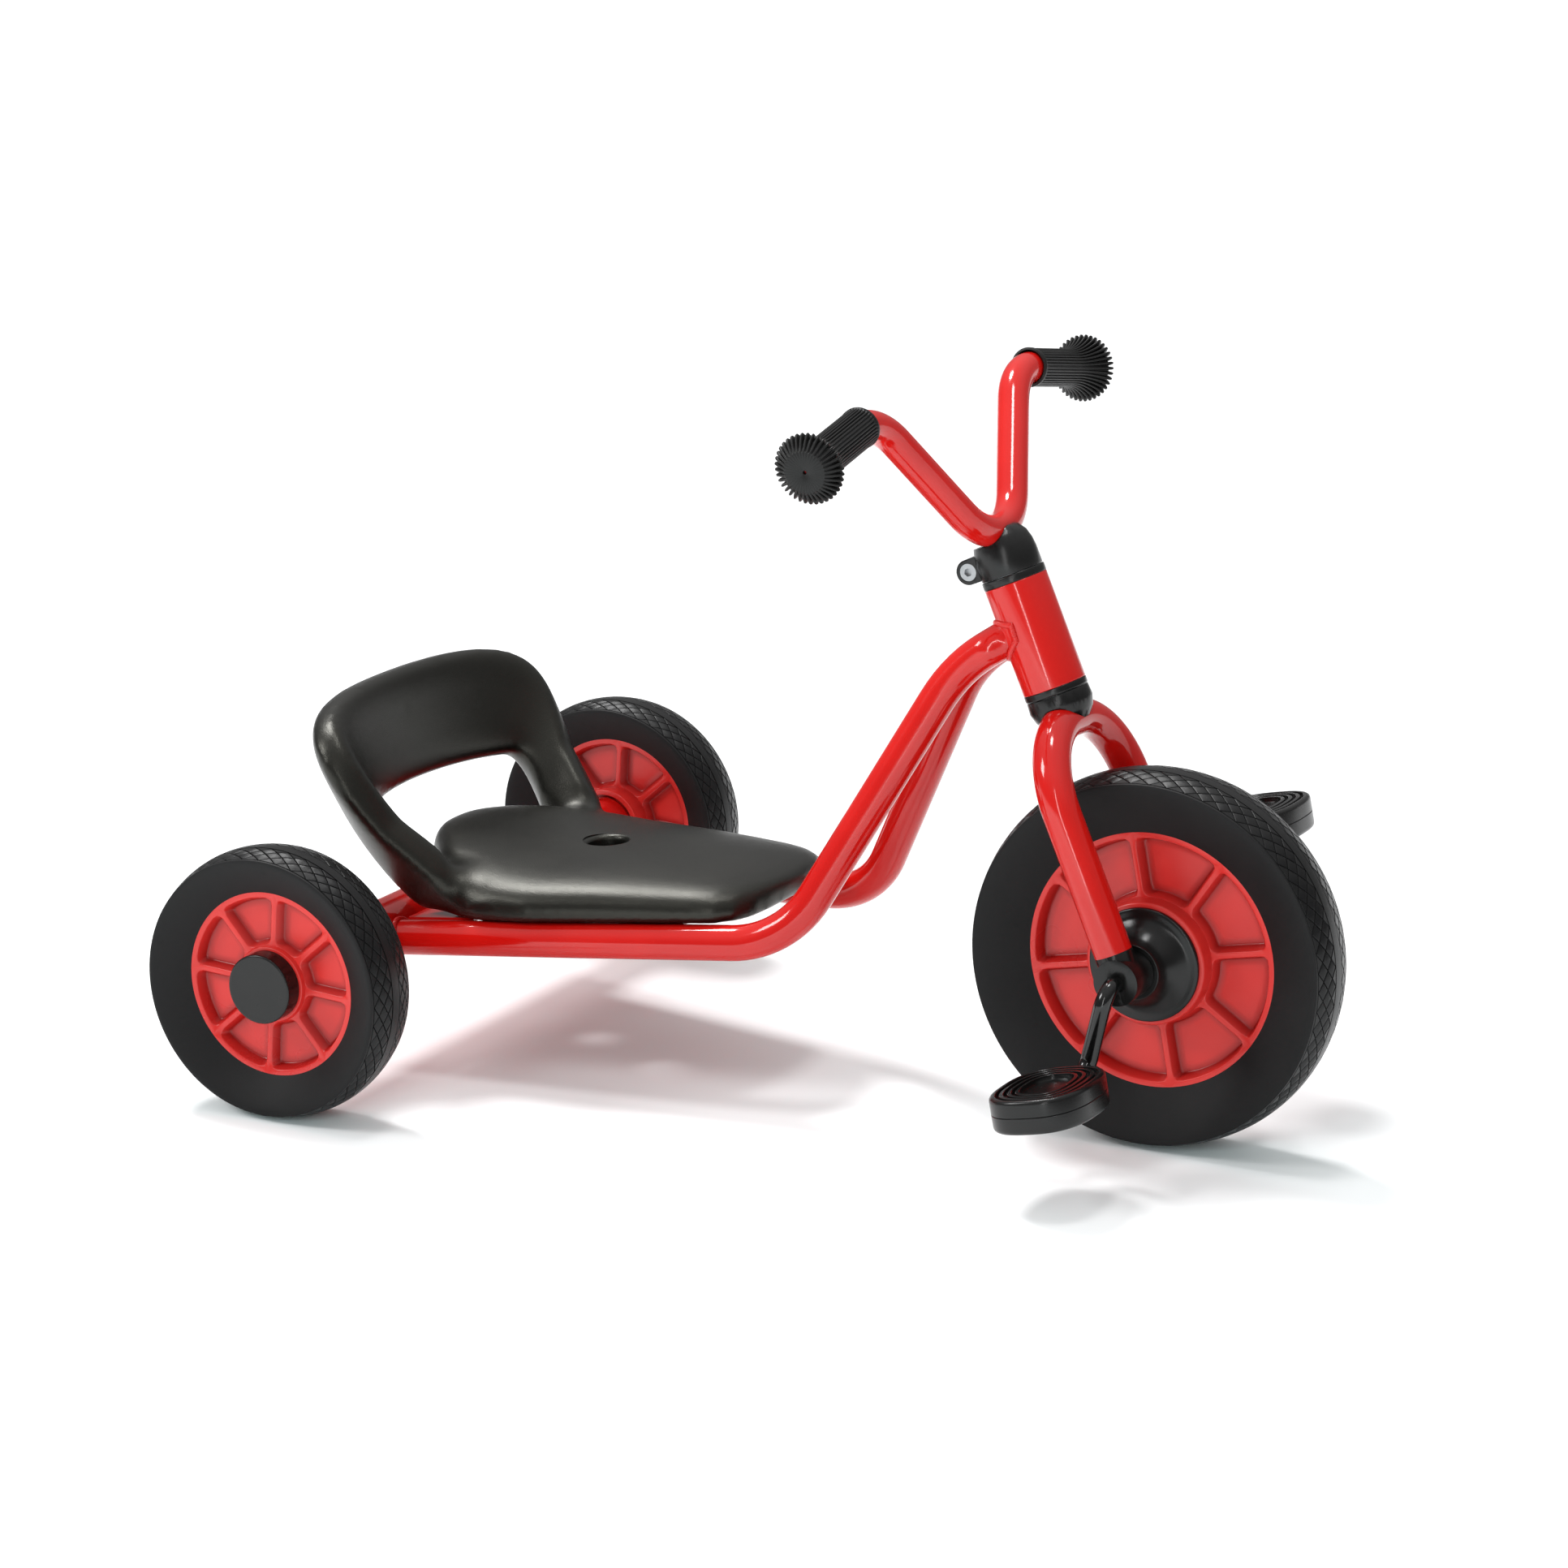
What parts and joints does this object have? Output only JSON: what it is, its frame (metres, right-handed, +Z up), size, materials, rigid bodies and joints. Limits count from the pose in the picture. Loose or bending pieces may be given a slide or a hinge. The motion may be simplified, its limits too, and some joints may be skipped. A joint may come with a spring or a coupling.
{
  "type": "tricycle",
  "caption": "Low child's tricycle with a bent tube frame, bucket seat with open back, fork steering, ribbed wheels and pedals on the front wheel.",
  "frame": {"origin": "on the ground under the middle of the overall box", "axes": "+X forward, +Y to the rider's left, +Z up"},
  "size_m": [0.6524, 0.448, 0.431],
  "materials": {
    "red_paint": "gloss powder coat",
    "black_paint": "gloss",
    "wheel_plastic": "satin moulded",
    "tyre": "matte",
    "grip_rubber": "matte",
    "seat_plastic": "fine grain",
    "black_plastic": "satin",
    "steel": "zinc plated"
  },
  "bodies": {
    "frame": {"frame_tube_right": "red_paint", "frame_tube_left": "red_paint", "head_tube": "red_paint", "rear_cross_tube": "red_paint", "seat_plate_rear": "red_paint", "seat_plate_front": "red_paint", "seat": "seat_plastic", "seat_bolts": "steel", "upper_bearing": "black_plastic", "lower_bearing": "black_plastic", "rear_axle": "steel", "axle_plugs": "black_plastic", "axle_nuts": "steel"},
    "steering": {"fork_tube": "red_paint", "steerer_tube": "steel", "crown_cup": "black_plastic", "handlebar_clamp": "black_plastic", "clamp_bolt": "steel", "clamp_nut": "steel", "handlebar": "red_paint", "handlebar_stub": "steel", "grip_right": "grip_rubber", "grip_left": "grip_rubber", "bearing_right_front": "black_plastic", "bearing_right_rear": "black_plastic", "bearing_left_front": "black_plastic", "bearing_left_rear": "black_plastic"},
    "front_wheel": {"front_rim": "wheel_plastic", "front_tyre": "tyre", "hub_flange_right": "black_plastic", "hub_flange_left": "black_plastic", "crank_axle": "black_paint", "pedal_clips": "steel"},
    "pedal_right": {"pedal_right_upper": "black_plastic", "pedal_right_lower": "black_plastic"},
    "pedal_left": {"pedal_left_upper": "black_plastic", "pedal_left_lower": "black_plastic"},
    "rear_wheel_right": {"rear_rim_right": "wheel_plastic", "rear_tyre_right": "tyre", "rear_cap_right": "black_plastic", "rear_bushes_right": "steel"},
    "rear_wheel_left": {"rear_rim_left": "wheel_plastic", "rear_tyre_left": "tyre", "rear_cap_left": "black_plastic", "rear_bushes_left": "steel"}
  },
  "joints": [
    {"name": "steer", "type": "hinge", "parent": "frame", "child": "steering", "pos_m": [0.21479, 0, 0.10935], "axis": [-0.4055, 0, 0.9141], "range_deg": [-40, 40]},
    {"name": "front_wheel_spin", "type": "hinge", "parent": "steering", "child": "front_wheel", "pos_m": [0.21625, 0, 0.11], "axis": [0, 1, 0], "continuous": true},
    {"name": "pedal_right_spin", "type": "hinge", "parent": "front_wheel", "child": "pedal_right", "pos_m": [0.20519, -0.12225, 0.05796], "axis": [0, 1, 0], "continuous": true},
    {"name": "pedal_left_spin", "type": "hinge", "parent": "front_wheel", "child": "pedal_left", "pos_m": [0.22731, 0.12225, 0.16204], "axis": [0, 1, 0], "continuous": true},
    {"name": "rear_wheel_right_spin", "type": "hinge", "parent": "frame", "child": "rear_wheel_right", "pos_m": [-0.24625, -0.203, 0.08], "axis": [0, 1, 0], "continuous": true},
    {"name": "rear_wheel_left_spin", "type": "hinge", "parent": "frame", "child": "rear_wheel_left", "pos_m": [-0.24625, 0.203, 0.08], "axis": [0, 1, 0], "continuous": true}
  ]
}
